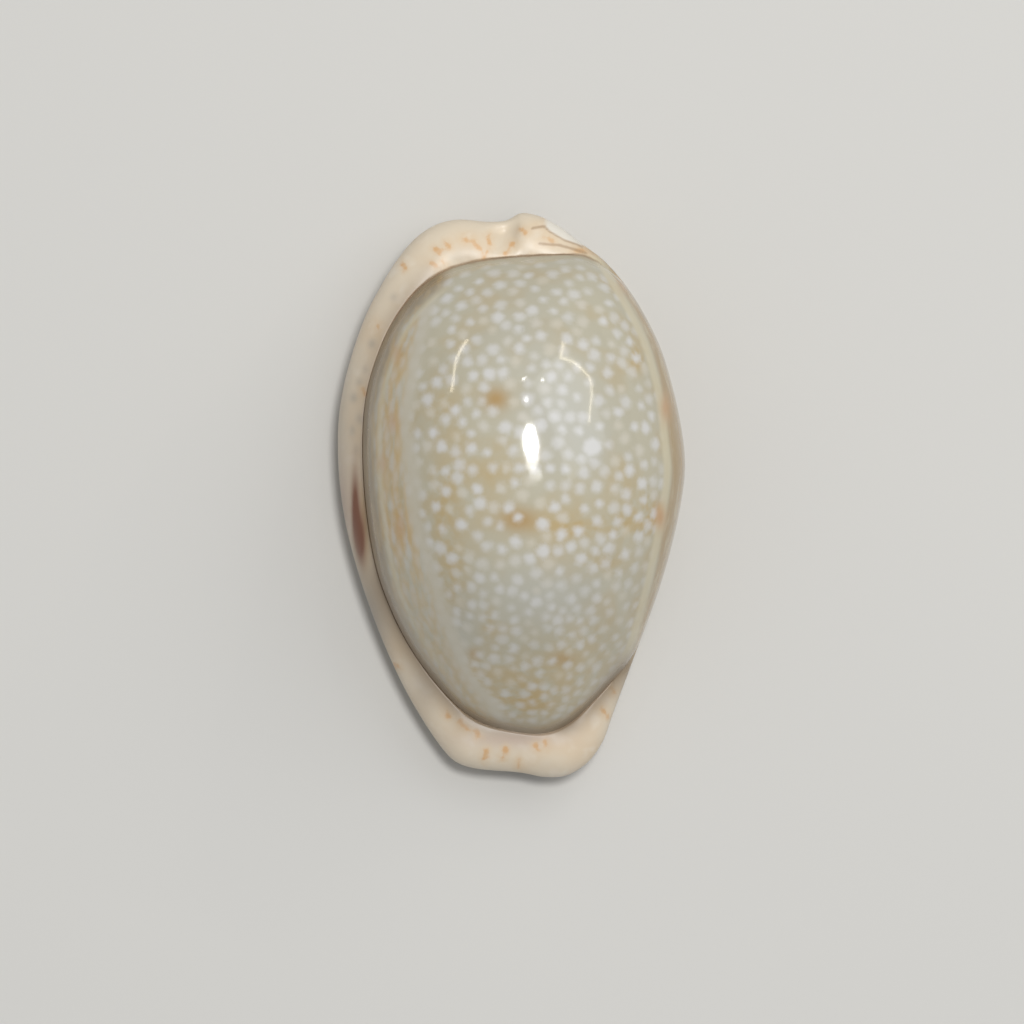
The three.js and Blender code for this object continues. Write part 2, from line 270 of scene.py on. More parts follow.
def shellGrid():
    count = fineness["around"]
    s = np.arange(count + 1) / count
    side = np.where(s <= 0.5, 1.0, -1.0)
    along = np.where(s <= 0.5, 2 * s, 2 - 2 * s)
    curve = smoothCurve(outline)
    curve = np.vstack([curve, curve[0]])
    run = np.append(0, np.cumsum(np.linalg.norm(np.diff(curve, axis=0), axis=1)))
    front = run[round(frontExit / len(outline) * (len(curve) - 1))]
    wanted = np.where(side > 0, along * front, run[-1] - along * (run[-1] - front))
    onCurve = np.stack([np.interp(wanted, run, curve[:, k]) for k in range(2)], axis=1)
    angle = np.arctan2(onCurve[:, 1] - centreY, onCurve[:, 0] - centreX)
    radius = around(outlineRadii, angle)
    rim = np.stack([centreX + radius * np.cos(angle), centreY + radius * np.sin(angle)], axis=1)
    crestMiddle, crestHalf = shape["crest"]
    crestY = crestMiddle + crestHalf * mix(1 - 2 * along, np.cos(math.pi * along), 0.5)
    crest = np.stack([np.full(count + 1, centreX), crestY], axis=1)
    canalShare = shape["canalShare"]
    opening = np.clip(np.minimum(along, 1 - along) / canalShare, 0, 1) * (math.pi / 2)
    lipShare = np.clip((along - canalShare / 2) / (1 - canalShare), 0, 1)
    lipY = mix(shape["apertureEnds"][0], shape["apertureEnds"][1], lipShare)
    lip = np.stack([apertureX(lipY) + side * apertureHalf(lipY) * np.sin(opening), lipY], axis=1)
    teeth = np.where(side > 0, shape["innerTeeth"], shape["outerTeeth"])
    onLip = np.clip((along - canalShare) / (1 - 2 * canalShare), 0, 1)
    tooth = 0.5 - 0.5 * np.cos(2 * math.pi * teeth * onLip)
    inwards = np.stack([-side * np.sin(opening), 0 * s, -np.cos(opening)], axis=1)

    # where along each column the dome ends and the callus begins
    near, far = np.full(count + 1, 0.5), np.ones(count + 1)
    for _ in range(30):
        middle = (near + far) / 2
        p = mix(crest, rim, middle[:, None])
        at = place(p[:, 0], p[:, 1])
        inside = (at["radius"] < at["foot"]) & (at["inward"] > shape["leastCallus"])
        near, far = np.where(inside, middle, near), np.where(inside, far, middle)
    split = np.arcsin(near)[:, None]

    t = np.linspace(0, 1, 240)[None, :]

    def onTop(share):
        p = mix(crest[:, None], rim[:, None], share[..., None])
        return np.dstack([p, topHeight(p[..., 0], p[..., 1])])

    dome = onTop(np.sin(split * t))
    margin = onTop(np.sin(mix(split, math.pi / 2, t)))
    under = mix(lip[:, None], rim[:, None], np.cos(math.pi / 2 * t)[..., None])
    fromLip = np.linalg.norm(under - lip[:, None], axis=2)
    fromRim = np.linalg.norm(under - rim[:, None], axis=2)
    ribShare = (1 - ease(0, shape["ribLength"], fromLip)) * ease(0, shape["ribClear"], fromRim)
    rib = shape["ribDepth"] * (1 - tooth[:, None]) * ribShare
    base = np.dstack([under, baseHeight(under[..., 0], under[..., 1]) + rib])
    outside = np.concatenate([evenly(dome, fineness["dome"]), evenly(margin, fineness["margin"])[:, 1:],
                              evenly(base, fineness["base"])[:, 1:]], axis=1)

    centre = np.array(shape["cavityCentre"])

    def shrink(p):
        deep = (centre[2] - shape["lipDepth"]) / centre[2]
        scale = np.broadcast_to(shape["cavityScale"], p.shape).copy()
        scale[..., 2] = np.where(p[..., 2] < centre[2], deep, scale[..., 2])
        return centre + (p - centre) * scale

    outer = outside[:, -1]
    smooth = np.column_stack([outer[:, :2], baseHeight(outer[:, 0], outer[:, 1])])
    inner = shrink(smooth)
    middle, half = (outer + inner) / 2, (outer - inner) / 2
    bulge = shape["lipBulge"] * apertureHalf(lipY) / shape["apertureHalfWidth"]
    bulge = bulge + shape["toothHeight"] * tooth
    turn = np.linspace(0, math.pi, fineness["lip"] + 1)[1:-1]
    nose = (middle[:, None] + half[:, None] * np.cos(turn)[None, :, None]
            + inwards[:, None] * (bulge[:, None] * np.sin(turn))[..., None])
    cavity = evenly(shrink(outside[:, ::-1]), fineness["cavity"])
    cavity[:, 0] = inner
    return np.concatenate([outside, nose, cavity], axis=1)


def buildShell():
    grid = shellGrid()
    columns, rows = grid.shape[:2]
    bm = bmesh.new()
    bmesh.ops.create_grid(bm, x_segments=columns - 1, y_segments=rows - 1, size=0.5)
    rowOf = bm.verts.layers.float.new("row")
    for v in bm.verts:
        j = round((v.co.x + 0.5) * (columns - 1))
        i = round((v.co.y + 0.5) * (rows - 1))
        v.co = Vector(grid[j, i] * mm)
        v[rowOf] = i
    bmesh.ops.remove_doubles(bm, verts=bm.verts, dist=1e-7)
    bmesh.ops.recalc_face_normals(bm, faces=bm.faces)
    for f in bm.faces:
        f.smooth = True
    mesh = bpy.data.meshes.new("cowrieShell")
    bm.to_mesh(mesh)
    bm.free()
    shell = bpy.data.objects.new("cowrieShell", mesh)
    bpy.context.scene.collection.objects.link(shell)
    print("shell:", len(mesh.vertices), "points,", len(mesh.polygons), "faces")
    return shell


shell = buildShell()

# the markings, in mm from above
markings = {
    "spotSpacing": 0.92,
    "spotRadii": (0.25, 0.42),
    "streakStretch": 0.45,          # left of the mantle's line the spots are drawn out lengthwise
    # spots that stand out: x, y, radius
    "ownSpots": [
        (5.6, 3.3, 0.62), (0.5, -1.55, 0.27), (8.7, 9.5, 0.34), (10.0, -1.3, 0.36), (2.2, -3.9, 0.48),
    ],
    "spotSeed": 11,
    "spotTries": 60000,
    "spotClear": 0.45,              # kept free round the spots that stand out
    "footClear": 0.25,              # and along the foot of the dome
    "closerLeft": 0.2,              # how much closer spots lie left of the mantle's line
    "closerFront": 0.12,            # and towards the front
    "slopeShare": 0.6,              # how far spots are drawn out down the slopes: 0 fully, 1 not at all
    "oliveAndShadeEnd": (-3.8, -5.4),       # the x over which the olive band and its painted shade come in
    "spireEnd": (10, 14),           # the y over which each end begins
    "frontEnd": (-2, -8),
    "grooveWidths": (0.6, 1.1),     # of the painted shade along the dome's foot, inside it and outside
    "maroonHeight": (6, 1.7),       # of the middle of the maroon marks, and half their height
    "mantleLine": [
        (-5.0, 16.2), (-5.3, 14.9), (-6.2, 11.9), (-6.6, 9.9), (-7.0, 7.5), (-7.2, 5.1), (-7.0, 2.8),
        (-6.7, 0), (-6.3, -2.7), (-5.7, -5.0), (-5.0, -7.0), (-4.1, -10.0), (-3.0, -12.3),
        (-2.2, -13.7), (-1.3, -14.9), (-0.6, -16.0), (0.2, -17.2),
    ],
    "flankLine": [  # the cream line down the right side
        (5.2, 17.6), (6.3, 16.3), (7.6, 14.1), (9.2, 11.0), (9.9, 8.8), (10.4, 6.6), (10.7, 3.9),
        (10.9, 1.7), (10.7, -0.2), (10.3, -2.5), (9.9, -4.7), (9.4, -6.9), (8.6, -10), (7.4, -13),
    ],
    "sliverLine": [(1.6, 18.9), (2.4, 19.05), (2.75, 18.65), (3.75, 18.06), (4.7, 17.76), (4.95, 17.66)],
    # strokes of brown where the callus laps over itself at the spire end
    "creases": [
        [(1.5, 18.85), (2.35, 19.02), (2.75, 18.65), (3.75, 18.06), (4.7, 17.76), (5.0, 17.6)],
        [(2.0, 17.75), (3.4, 17.65), (4.2, 17.45), (5.3, 17.1)],
    ],
    # short rust-coloured strokes on the callus
    "rust": [
        [(-7.7, 16.3), (-7.5, 16.1)], [(-5.6, 16.4), (-5.3, 16.2)], [(-4.8, 16.5), (-4.6, 16.3)],
        [(-5.3, 17.4), (-5.1, 17.1)], [(-4.6, 17.8), (-4.4, 17.5)], [(-1.6, 17.3), (-1.9, 16.8)],
        [(-1.6, 18.3), (-1.5, 17.8)], [(0.1, 17.8), (-0.4, 17.0)], [(0.8, 18.7), (1.0, 18.6)],
        [(-9.4, 11.9), (-9.3, 11.7)], [(-10.4, 7.4), (-10.3, 7.2)], [(-8.2, -12.0), (-8.0, -12.2)],
        [(-4.6, -15.2), (-4.4, -15.6)], [(-3.6, -15.9), (-3.1, -16.5)], [(-2.5, -16.6), (-2.3, -17.1)],
        [(-1.7, -18.1), (-1.9, -18.7)], [(-0.4, -18.0), (-0.6, -18.6)], [(1.7, -17.6), (1.9, -18.0)],
        [(2.4, -17.4), (2.5, -17.7)], [(6.4, -15.1), (6.8, -15.6)], [(7.0, -13.5), (7.3, -13.9)],
        [(0.6, -18.8), (0.6, -19.2)], [(-3.4, 18.05), (-2.7, 17.9), (-2.2, 17.4), (-2.0, 17.0)],
        [(2.4, 18.3), (2.9, 17.9)], [(4.6, 17.2), (5.2, 17.3)],
    ],
    # soft patches: x, y, half width, half height, strength
    "blotch": [
        (-1.05, 6.6, 0.95, 0.8, 1.0), (0.5, -1.7, 1.25, 0.85, 1.0), (3.6, -11.4, 0.8, 0.5, 0.7),
        (-2.6, -11.1, 0.5, 0.45, 0.6), (-7.8, 9.9, 0.35, 0.9, 0.5), (-5.2, 15.0, 0.6, 0.6, 0.8),
    ],
    "ochre": [
        (1.0, -13.6, 5.0, 2.6, 0.5), (5.5, -10.5, 3.0, 2.5, 0.3), (-7.6, 10.1, 0.5, 1.1, 0.7),
        (-8.3, 5.1, 0.6, 1.1, 0.9), (-9.0, 2.0, 0.7, 1.2, 0.7), (-7.9, -1.0, 0.7, 2.4, 0.9),
        (7.4, 15.2, 0.5, 1.0, 0.8), (8.7, 9.6, 0.7, 1.1, 0.9), (9.9, -1.4, 0.9, 1.2, 0.9),
        (4.2, -2.2, 2.2, 0.8, 0.75), (8.2, -2.0, 1.6, 1.0, 0.6), (-4.6, -1.0, 1.3, 3.0, 0.6),
        (-4.0, -5.5, 1.1, 2.4, 0.55), (-4.8, 6.0, 1.2, 3.2, 0.4), (-2.0, 1.6, 2.2, 2.0, 0.4),
        (1.0, -14.6, 2.2, 1.0, 0.45), (-1.5, -9.0, 0.6, 1.2, 0.5), (9.0, -8.4, 0.6, 1.8, 0.6),
        (-2.6, -12.8, 0.5, 1.2, 0.5), (-9.4, -3.5, 0.7, 3.0, 0.5), (8.3, 0.6, 1.0, 1.6, 0.35),
        (6.6, -4.6, 2.0, 0.9, 0.4),
    ],
    "cool": [
        (3.6, 5.5, 3.0, 3.4, 1.0), (2.6, -7.0, 4.0, 2.4, 1.0), (1.0, 10.5, 3.4, 3.0, 0.5),
        (-2.2, -10.8, 1.5, 3.4, 0.4), (5.6, 3.3, 1.4, 1.4, 0.6), (-3.6, -10.0, 0.9, 3.0, 0.7),
    ],
    "orange": [
        (10.8, 6.1, 0.4, 1.0, 0.8), (10.4, -1.5, 0.4, 0.9, 0.9), (-8.0, 9.9, 0.3, 0.7, 0.5),
        (-8.2, 5.0, 0.35, 0.7, 0.5), (-7.7, -2.2, 0.4, 1.0, 0.5), (7.9, 15.0, 0.4, 0.9, 0.5),
        (-9.0, 2.2, 0.4, 0.6, 0.4),
    ],
    "maroon": [
        (-11.0, -1.2, 0.3, 2.9, 1.3), (-10.6, -3.2, 0.34, 1.9, 1.2), (12.3, 2.4, 0.3, 1.5, 1.0),
    ],
    "pink": [
        (-12.0, -1.4, 0.7, 3.6, 1.0), (11.6, 2.5, 0.5, 2.2, 0.5), (0.2, -17.2, 3.4, 0.7, 0.8),
    ],
    # grey on the callus: mostly painted shade where its slopes turn from the light, partly the callus's
    # own grey
    "greyAndShade": [
        (-9.9, -8.2, 1.5, 3.8, 0.9), (-12.0, 5.0, 0.8, 5.0, 0.35), (-6.0, -13.6, 1.0, 1.8, 0.5),
        (-3.0, 16.9, 1.6, 0.7, 0.3),
    ],
    "stain": [
        (7.4, 16.1, 0.7, 1.3, 0.9), (5.4, 17.3, 0.9, 0.4, 0.6), (6.4, 16.9, 0.6, 0.6, 0.6),
        (9.2, 13.4, 0.4, 1.6, 0.5), (-10.3, -1.5, 0.4, 3.2, 0.8), (-3.2, -16.4, 0.9, 0.6, 0.3),
    ],
    "pits": [
        (-8.3, 14.0, 0.3, 0.3, 0.5), (-9.8, 10.7, 0.3, 0.35, 0.8), (-10.3, 8.9, 0.25, 0.3, 0.5),
        (-10.7, 8.0, 0.3, 0.3, 0.6), (-11.1, 6.9, 0.3, 0.35, 0.8), (-10.7, 5.4, 0.3, 0.4, 0.7),
        (-11.2, 4.6, 0.25, 0.4, 0.7), (-10.9, 3.2, 0.25, 0.4, 0.5),
    ],
}


def patches(x, y, places):
    total = np.zeros_like(x)
    for px, py, halfX, halfY, strength in places:
        total += strength * np.exp(-(((x - px) / halfX) ** 2) - ((y - py) / halfY) ** 2)
    return np.minimum(total, 1)


def strokeDistance(x, y, strokes):
    nearest = np.full_like(x, 9.0)
    for stroke in strokes:
        for (ax, ay), (bx, by) in zip(stroke, stroke[1:]):
            run = (bx - ax) ** 2 + (by - ay) ** 2
            t = np.clip(((x - ax) * (bx - ax) + (y - ay) * (by - ay)) / run, 0, 1)
            nearest = np.minimum(nearest, np.hypot(x - mix(ax, bx, t), y - mix(ay, by, t)))
    return nearest


def besideLine(x, y, points):  # signed distance: positive on the side of +X
    line = smoothCurve(points, closed=False)[::-1]
    slope = np.gradient(line[:, 0], line[:, 1])
    return (x - np.interp(y, line[:, 1], line[:, 0])) / np.hypot(1, np.interp(y, line[:, 1], slope))


def scatterSpots():  # no two closer than the spacing, over the whole dome
    random = np.random.default_rng(markings["spotSeed"])
    tries = random.uniform((-11, -17.5), (12.5, 17.5), (markings["spotTries"], 2))
    at = place(tries[:, 0], tries[:, 1])
    x, y = tries.T
    free = (at["radius"] < at["foot"] - markings["footClear"]) & (patches(x, y, markings["blotch"]) < 0.35)
    for ownX, ownY, radius in markings["ownSpots"]:
        free &= np.hypot(x - ownX, y - ownY) > radius + markings["spotClear"]
    x, y = tries[free].T
    points = np.column_stack([x, y, markings["slopeShare"] * topHeight(x, y)])
    beyondMantle = 1 - ease(-0.5, 0.5, besideLine(x, y, markings["mantleLine"]))
    spacing = markings["spotSpacing"] * (1 - markings["closerLeft"] * beyondMantle)
    spacing = spacing * (1 - markings["closerFront"] * ease(-3.5, -8, y))
    kept = np.empty((0, 3))
    chosen = []
    for k, (point, gap) in enumerate(zip(points, spacing)):
        if not len(kept) or np.min(np.sum((kept - point) ** 2, axis=1)) > gap * gap:
            kept = np.vstack([kept, point])
            chosen.append(k)
    radii = random.uniform(*markings["spotRadii"], len(kept)) * spacing[chosen] / markings["spotSpacing"]
    own = np.array(markings["ownSpots"])
    ownHeights = markings["slopeShare"] * topHeight(own[:, 0], own[:, 1])
    kept = np.vstack([kept, np.column_stack([own[:, 0], own[:, 1], ownHeights])])
    print("spots:", len(kept))
    tones = np.append(random.uniform(0, 1, len(radii)), np.ones(len(own)))
    return kept, np.append(radii, own[:, 2]), tones


# 1 where the dome comes down to the rim itself
bareTable = smoothed(1 - ease(0.1, 0.6, (outlineRadii - domeRadii) * edgeCosine), 4)


def paintMarkings(mesh):
    count = len(mesh.vertices)
    points = np.empty(count * 3)
    mesh.vertices.foreach_get("co", points)
    points = points.reshape(-1, 3) / mm
    x, y, z = points.T
    row = np.empty(count)
    mesh.attributes["row"].data.foreach_get("value", row)
    lastTop = fineness["dome"] + fineness["margin"]
    lastBase = lastTop + fineness["base"]
    onTop = row <= lastTop
    at = place(x, y)
    foot, inward = at["foot"], at["inward"]
    margin = at["footInward"]
    fromFoot = np.where(onTop, foot - at["radius"], -margin - inward)
    spotPoints, spotRadii, spotTones = scatterSpots()
    tree = KDTree(len(spotPoints))
    for k, point in enumerate(spotPoints):
        tree.insert(point, k)
    tree.balance()
    spotEdge, spotTone = np.ones(count), np.zeros(count)
    mantle = besideLine(x, y, markings["mantleLine"])
    squash = mix(markings["streakStretch"], 1, ease(-0.8, 0.3, mantle))
    for k in np.nonzero(onTop & (fromFoot > -1))[0]:
        flat = markings["slopeShare"] * z[k]
        near = tree.find_n((x[k], y[k], flat), 7 if squash[k] < 1 else 4)
        edges = [math.hypot(c.x - x[k], (c.y - y[k]) * squash[k], c.z - flat) - spotRadii[n]
                 for c, n, _ in near]
        spotEdge[k] = min(edges)
        spotTone[k] = spotTones[near[edges.index(spotEdge[k])][1]]
    top = onTop.astype(float)
    grooveWidth = np.where(fromFoot > 0.1, *markings["grooveWidths"])
    sliver = np.array(markings["sliverLine"])
    bare = around(bareTable, at["angle"])
    # painted shade in the groove along the dome's foot: dark round the front end, less so up the left side
    grooved = ease(-4, -7, y) * ease(-17.8, -16, y + 0.02 * x**2)
    grooved = grooved + 0.6 * ease(-4.5, -6, x) * ease(-7, -4, y)
    grooved = grooved * (1 - ease(0.4, 0.95, bare)) * top
    values = {
        "spotEdge": spotEdge,
        "spotTone": spotTone,
        "mantleLine": mantle,
        "flankLine": besideLine(x, y, markings["flankLine"]),
        "fromFoot": fromFoot,
        "bareFlank": bare,
        "inward": inward,
        # where the olive band and its painted shade lie, fainter lower down where only the painted shade
        # goes on
        "leftFoot": ease(*markings["oliveAndShadeEnd"], x) * mix(0.4, 1, ease(-10, -4, y)),
        "spireEnd": ease(*markings["spireEnd"], y),
        "frontEnd": ease(*markings["frontEnd"], y),
        "groove": np.exp(-(((fromFoot - 0.1) / grooveWidth) ** 2)) * grooved,
        "crease": np.where(onTop, strokeDistance(x, y, markings["creases"]), 9),
        "rust": np.where(onTop, strokeDistance(x, y, markings["rust"]), 9),
        "sliver": top * ease(-0.05, 0.12, y - np.interp(x, *sliver.T)) * ease(2.3, 2.6, x),
        "under": 1 - top,
        "inside": (row > lastBase + fineness["lip"]).astype(float),
    }
    for name in ("blotch", "ochre", "cool", "orange", "maroon", "pink", "greyAndShade", "stain", "pits"):
        seen = top
        if name in ("maroon", "pink", "greyAndShade"):  # these run a little way in under the rim
            seen = 1 - (1 - top) * ease(0.1, 1.2, inward)
        values[name] = patches(x, y, markings[name]) * seen
    maroonZ, maroonHalf = markings["maroonHeight"]
    values["maroon"] *= np.exp(-(((z - maroonZ) / maroonHalf) ** 2))
    for name, value in values.items():
        layer = mesh.attributes.new(name, "FLOAT", "POINT")
        layer.data.foreach_set("value", value.astype(np.float32))


paintMarkings(shell.data)
print("markings done")


def colour(hexValue):
    parts = [int(hexValue[i:i + 2], 16) / 255 for i in (1, 3, 5)]
    return tuple(c / 12.92 if c <= 0.04045 else ((c + 0.055) / 1.055) ** 2.4 for c in parts) + (1,)


def addNode(tree, kind, settings=None, links=None):
    node = tree.nodes.new(kind)
    for name, value in (settings or {}).items():
        if isinstance(name, str) and hasattr(node, name):
            setattr(node, name, value)
        else:
            node.inputs[name].default_value = value
    for name, source in (links or {}).items():
        tree.links.new(source, node.inputs[name])
    return node


# aragonite laid down smooth by the mantle: a clear, sharp sheen over soft-edged marks, and a
# satin one on the callus
porcelain = bpy.data.materials.new("porcelainShell")
porcelain.use_nodes = True
tree = porcelain.node_tree
tree.nodes.clear()

look = {
    "ground": "#b0aa96",
    "groundOchre": "#b0955f",
    "groundCool": "#afada2",
    "blotch": "#a5844f",
    "groundFlank": "#bb9e69",       # between the mantle line and the left groove
    "spot": "#c6c4c0",
    "spotWarm": "#c6bfb0",
    "spotEdgeWidth": 0.3,
    "mantleLine": "#bcb5a4",
    "flankLine": "#c6bc9f",
    "rightFlank": "#9f8558",
    # olive band: the shell's own olive darkened with painted shade of the groove
    "oliveAndShadeBand": "#7d6942",
    # painted shade in the groove along the dome's foot
    "groove": "#867560",
    "stain": "#ab8d60",
    "orange": "#b98f62",
    "maroon": "#6f4632",
    "pink": "#ad9688",
    "callus": "#d3c5af",
    "callusWarm": "#cfb592",
    "callusPale": "#ded5c6",
    # grey painted shade on the callus slopes, partly its own grey
    "greyAndShade": "#9c9285",
    "crease": "#94775a",
    "rust": "#c79458",
    "sliver": "#dad4c8",
    "pit": "#a39d93",
    "base": "#e2d7c4",
    "inside": "#b9a9b4",
    "roughness": 0.09,
    "callusRoughness": 0.42,
    "ior": 1.56,
    "undulation": 0.02,             # mm
    "waves": (3.0, 1.3),            # mm, across the dome's waves and the callus's
    "lumps": (3.2, 0.55),           # mm, of the soft stains and of what breaks the spots' edges
    "streaks": 0.8,                 # mm, across the streaks on the flanks
    "callusLumps": 1.6,
    "flankLineWidth": (0.42, 0.1),  # mm from its middle where each pale line ends and is full
    "mantleLineWidth": (0.9, 0.0),
    "oliveAndShadeBandWidth": (1.35, 0.45),
}


def mark(name):
    return addNode(tree, "ShaderNodeAttribute", {"attribute_name": name}).outputs["Fac"]


def fade(value, start, end):  # 0 at start, 1 at end
    settings = {"interpolation_type": "SMOOTHSTEP", "From Min": start, "From Max": end}
    return addNode(tree, "ShaderNodeMapRange", settings, {"Value": value}).outputs["Result"]


def reckon(operation, a, b):
    node = addNode(tree, "ShaderNodeMath", {"operation": operation})
    for socket, value in zip(node.inputs, (a, b)):
        if isinstance(value, (int, float)):
            socket.default_value = value
        else:
            tree.links.new(value, socket)
    return node.outputs["Value"]


def times(*factors):
    product = factors[0]
    for factor in factors[1:]:
        product = reckon("MULTIPLY", product, factor)
    return product


def over(under, factor, top):  # a colour, or a hex value, laid over another
    node = addNode(tree, "ShaderNodeMix", {"data_type": "RGBA"})
    for index, value in ((0, factor), (6, under), (7, top)):
        if isinstance(value, str):
            node.inputs[index].default_value = colour(value)
        elif isinstance(value, (int, float)):
            node.inputs[index].default_value = value
        else:
            tree.links.new(value, node.inputs[index])
    return node.outputs[2]


objectSpace = addNode(tree, "ShaderNodeTexCoord").outputs["Object"]


def noise(size, detail=2, stretch=(1, 1, 1)):  # size of its lumps in mm
    scaled = addNode(tree, "ShaderNodeMapping", {"Scale": tuple(k / (size * mm) for k in stretch)},
                     {"Vector": objectSpace})
    return addNode(tree, "ShaderNodeTexNoise", {"Scale": 1.0, "Detail": detail, "Roughness": 0.5},
                   {"Vector": scaled.outputs["Vector"]}).outputs["Fac"]


soft, fine = (noise(size) for size in look["lumps"])
streaks = noise(look["streaks"], 3, (1.5, 0.22, 0.8))
mantle, flank, fromFoot = mark("mantleLine"), mark("flankLine"), mark("fromFoot")


def sway(lumps, amount):  # up and down by half the amount, to break a clean edge
    return times(reckon("SUBTRACT", lumps, 0.5), amount)


# the dome's ground: khaki, warmer or cooler from place to place
ground = over(look["ground"], times(fade(soft, 0.45, 0.75), 0.35), look["groundOchre"])
ground = over(ground, times(mark("cool"), 0.8), look["groundCool"])
ground = over(ground, times(mark("ochre"), fade(noise(1.1), 0.2, 0.62)), look["groundOchre"])
ground = over(ground, times(mark("blotch"), 0.85), look["blotch"])
leftFlank = fade(mantle, 0.2, -0.5)
frontEnd = mark("frontEnd")
streaked = times(fade(streaks, 0.35, 0.6), reckon("SUBTRACT", 0.8, times(frontEnd, 0.4)))
ground = over(ground, times(leftFlank, streaked), look["groundFlank"])

# white spots with soft edges, each of its own tone
spotEdge = reckon("ADD", mark("spotEdge"), sway(fine, 0.4))
inSpot = fade(spotEdge, look["spotEdgeWidth"], -look["spotEdgeWidth"])
tone = mark("spotTone")
spotColour = over(look["spot"], fade(tone, 0.35, 0.0), look["spotWarm"])
strength = reckon("ADD", 0.55, times(tone, 0.45))
strength = times(strength, reckon("SUBTRACT", 1, times(leftFlank, 0.45)), fade(flank, 0.3, -0.6),
                fade(fromFoot, 0.0, 1.1), reckon("SUBTRACT", 1, times(frontEnd, 0.25)))
skin = over(ground, times(inSpot, strength), spotColour)

# right of the cream line the flank is tan and streaked
beyond = fade(flank, 0.1, 0.6)
tan = over(look["rightFlank"], times(fade(streaks, 0.45, 0.7), 0.45), look["flankLine"])
skin = over(skin, times(beyond, 0.9), tan)
besideFlank = reckon("ABSOLUTE", flank, 0)
skin = over(skin, times(fade(besideFlank, *look["flankLineWidth"]), 0.75), look["flankLine"])

# the pale line where the two lobes of the mantle met
wander = reckon("ADD", sway(soft, 0.5), sway(fine, 0.5))
besideMantle = reckon("ABSOLUTE", reckon("ADD", mantle, wander), 0)
skin = over(skin, times(fade(besideMantle, *look["mantleLineWidth"]), 0.85), look["mantleLine"])

# an olive band in the groove, on the left: the shell's own olive, darkened with painted shade that runs on
# below it
leftFoot = mark("leftFoot")
bandEdge = reckon("ADD", fromFoot, sway(soft, 1.2))
band = times(leftFoot, fade(bandEdge, *look["oliveAndShadeBandWidth"]))
besideBand = times(fade(fromFoot, 1.0, 1.25), fade(fromFoot, 1.6, 1.35))
skin = over(skin, times(leftFoot, besideBand, 0.5), look["flankLine"])
oliveAndShade = over(look["oliveAndShadeBand"], times(fade(streaks, 0.42, 0.68), 0.4), look["groundFlank"])
skin = over(skin, times(band, 0.92), oliveAndShade)

skin = over(skin, mark("orange"), look["orange"])

# the callus, cream with warm stains, and grey painted shade on its slopes turned from the light
callus = over(look["callus"], times(fade(soft, 0.4, 0.7), 0.4), look["callusWarm"])
callus = over(callus, times(fade(noise(look["callusLumps"]), 0.5, 0.75), 0.55), look["callusPale"])
callus = over(callus, times(mark("pink"), 0.8), look["pink"])
# grey patches: painted shade on the callus, partly its own grey
callus = over(callus, times(mark("greyAndShade"), 0.9), look["greyAndShade"])
callus = over(callus, times(mark("pits"), 0.8), look["pit"])
callus = over(callus, mark("stain"), look["stain"])
rustEdge = reckon("ADD", mark("rust"), sway(fine, 0.7))
callus = over(callus, times(fade(rustEdge, 0.7, 0.0), 0.5), look["callusWarm"])
callus = over(callus, times(fade(rustEdge, 0.26, -0.05), 0.65), look["rust"])
creaseEdge = reckon("ADD", mark("crease"), sway(fine, 0.1))
callus = over(callus, times(fade(creaseEdge, 0.7, 0.1), 0.3), look["callusWarm"])
callus = over(callus, times(fade(creaseEdge, 0.17, 0.02), 0.6), look["crease"])
callus = over(callus, mark("sliver"), look["sliver"])

# under the rim the base is paler
callus = over(callus, times(mark("under"), fade(mark("inward"), 0.5, 3.5), 0.7), look["base"])

# where the two meet: sharp where the callus laps onto the dome, blurred down the bare flank
bare = mark("bareFlank")
pastFoot = reckon("SUBTRACT", 0, reckon("ADD", fromFoot, times(bare, 0.9)))
blur = reckon("ADD", 0.06, times(bare, 0.75))
onCallus = fade(reckon("DIVIDE", pastFoot, blur), -1, 1)
shellColour = over(skin, onCallus, callus)

# painted shade in the groove between them, and a fine brown line along its bottom
shellColour = over(shellColour, times(mark("groove"), 0.9), look["groove"])
edgeLine = reckon("ABSOLUTE", reckon("ADD", fromFoot, sway(fine, 0.2)), 0)
lapped = fade(bare, 0.7, 0.2)
edgeStrength = reckon("ADD", 0.2, times(mark("spireEnd"), 0.4))
edgeStrength = times(lapped, fade(mark("under"), 1, 0), edgeStrength)
shellColour = over(shellColour, times(fade(edgeLine, 0.16, 0.03), edgeStrength), look["crease"])

shellColour = over(shellColour, mark("maroon"), look["maroon"])
shellColour = over(shellColour, times(mark("inside"), 0.7), look["inside"])

# the surface: gently uneven, more so on the callus, which is duller too
domeWaves, callusWaves = (noise(size, 1) for size in look["waves"])
waves = reckon("ADD", domeWaves, times(onCallus, callusWaves, 2.0))
bumpDepth = {"Distance": look["undulation"] * mm, "Strength": 1.0}
uneven = addNode(tree, "ShaderNodeBump", bumpDepth, {"Height": waves})
dull = reckon("MAXIMUM", onCallus, times(fade(edgeLine, 0.6, 0.25), lapped))
gloss = reckon("ADD", look["roughness"], times(dull, look["callusRoughness"] - look["roughness"]))
surface = addNode(tree, "ShaderNodeBsdfPrincipled", {"IOR": look["ior"]},
                  {"Base Color": shellColour, "Roughness": gloss, "Normal": uneven.outputs["Normal"]})
addNode(tree, "ShaderNodeOutputMaterial", links={"Surface": surface.outputs["BSDF"]})
shell.data.materials.append(porcelain)
print("porcelain done")

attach(shell, "root")
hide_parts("shell")

studio = {
    "floorSize": 3.0,
    "floorColour": "#c6c4bf",
    "cameraHeight": 0.45,
    "viewWidth": 0.07236,        # how much the view takes in from side to side, at viewHeight
    "viewHeight": 0.006,
    "aim": (0.00007, -0.00117),  # what the middle of the view looks down on
    "worldColour": "#e8ebef",
    "worldStrength": 0.45,
}

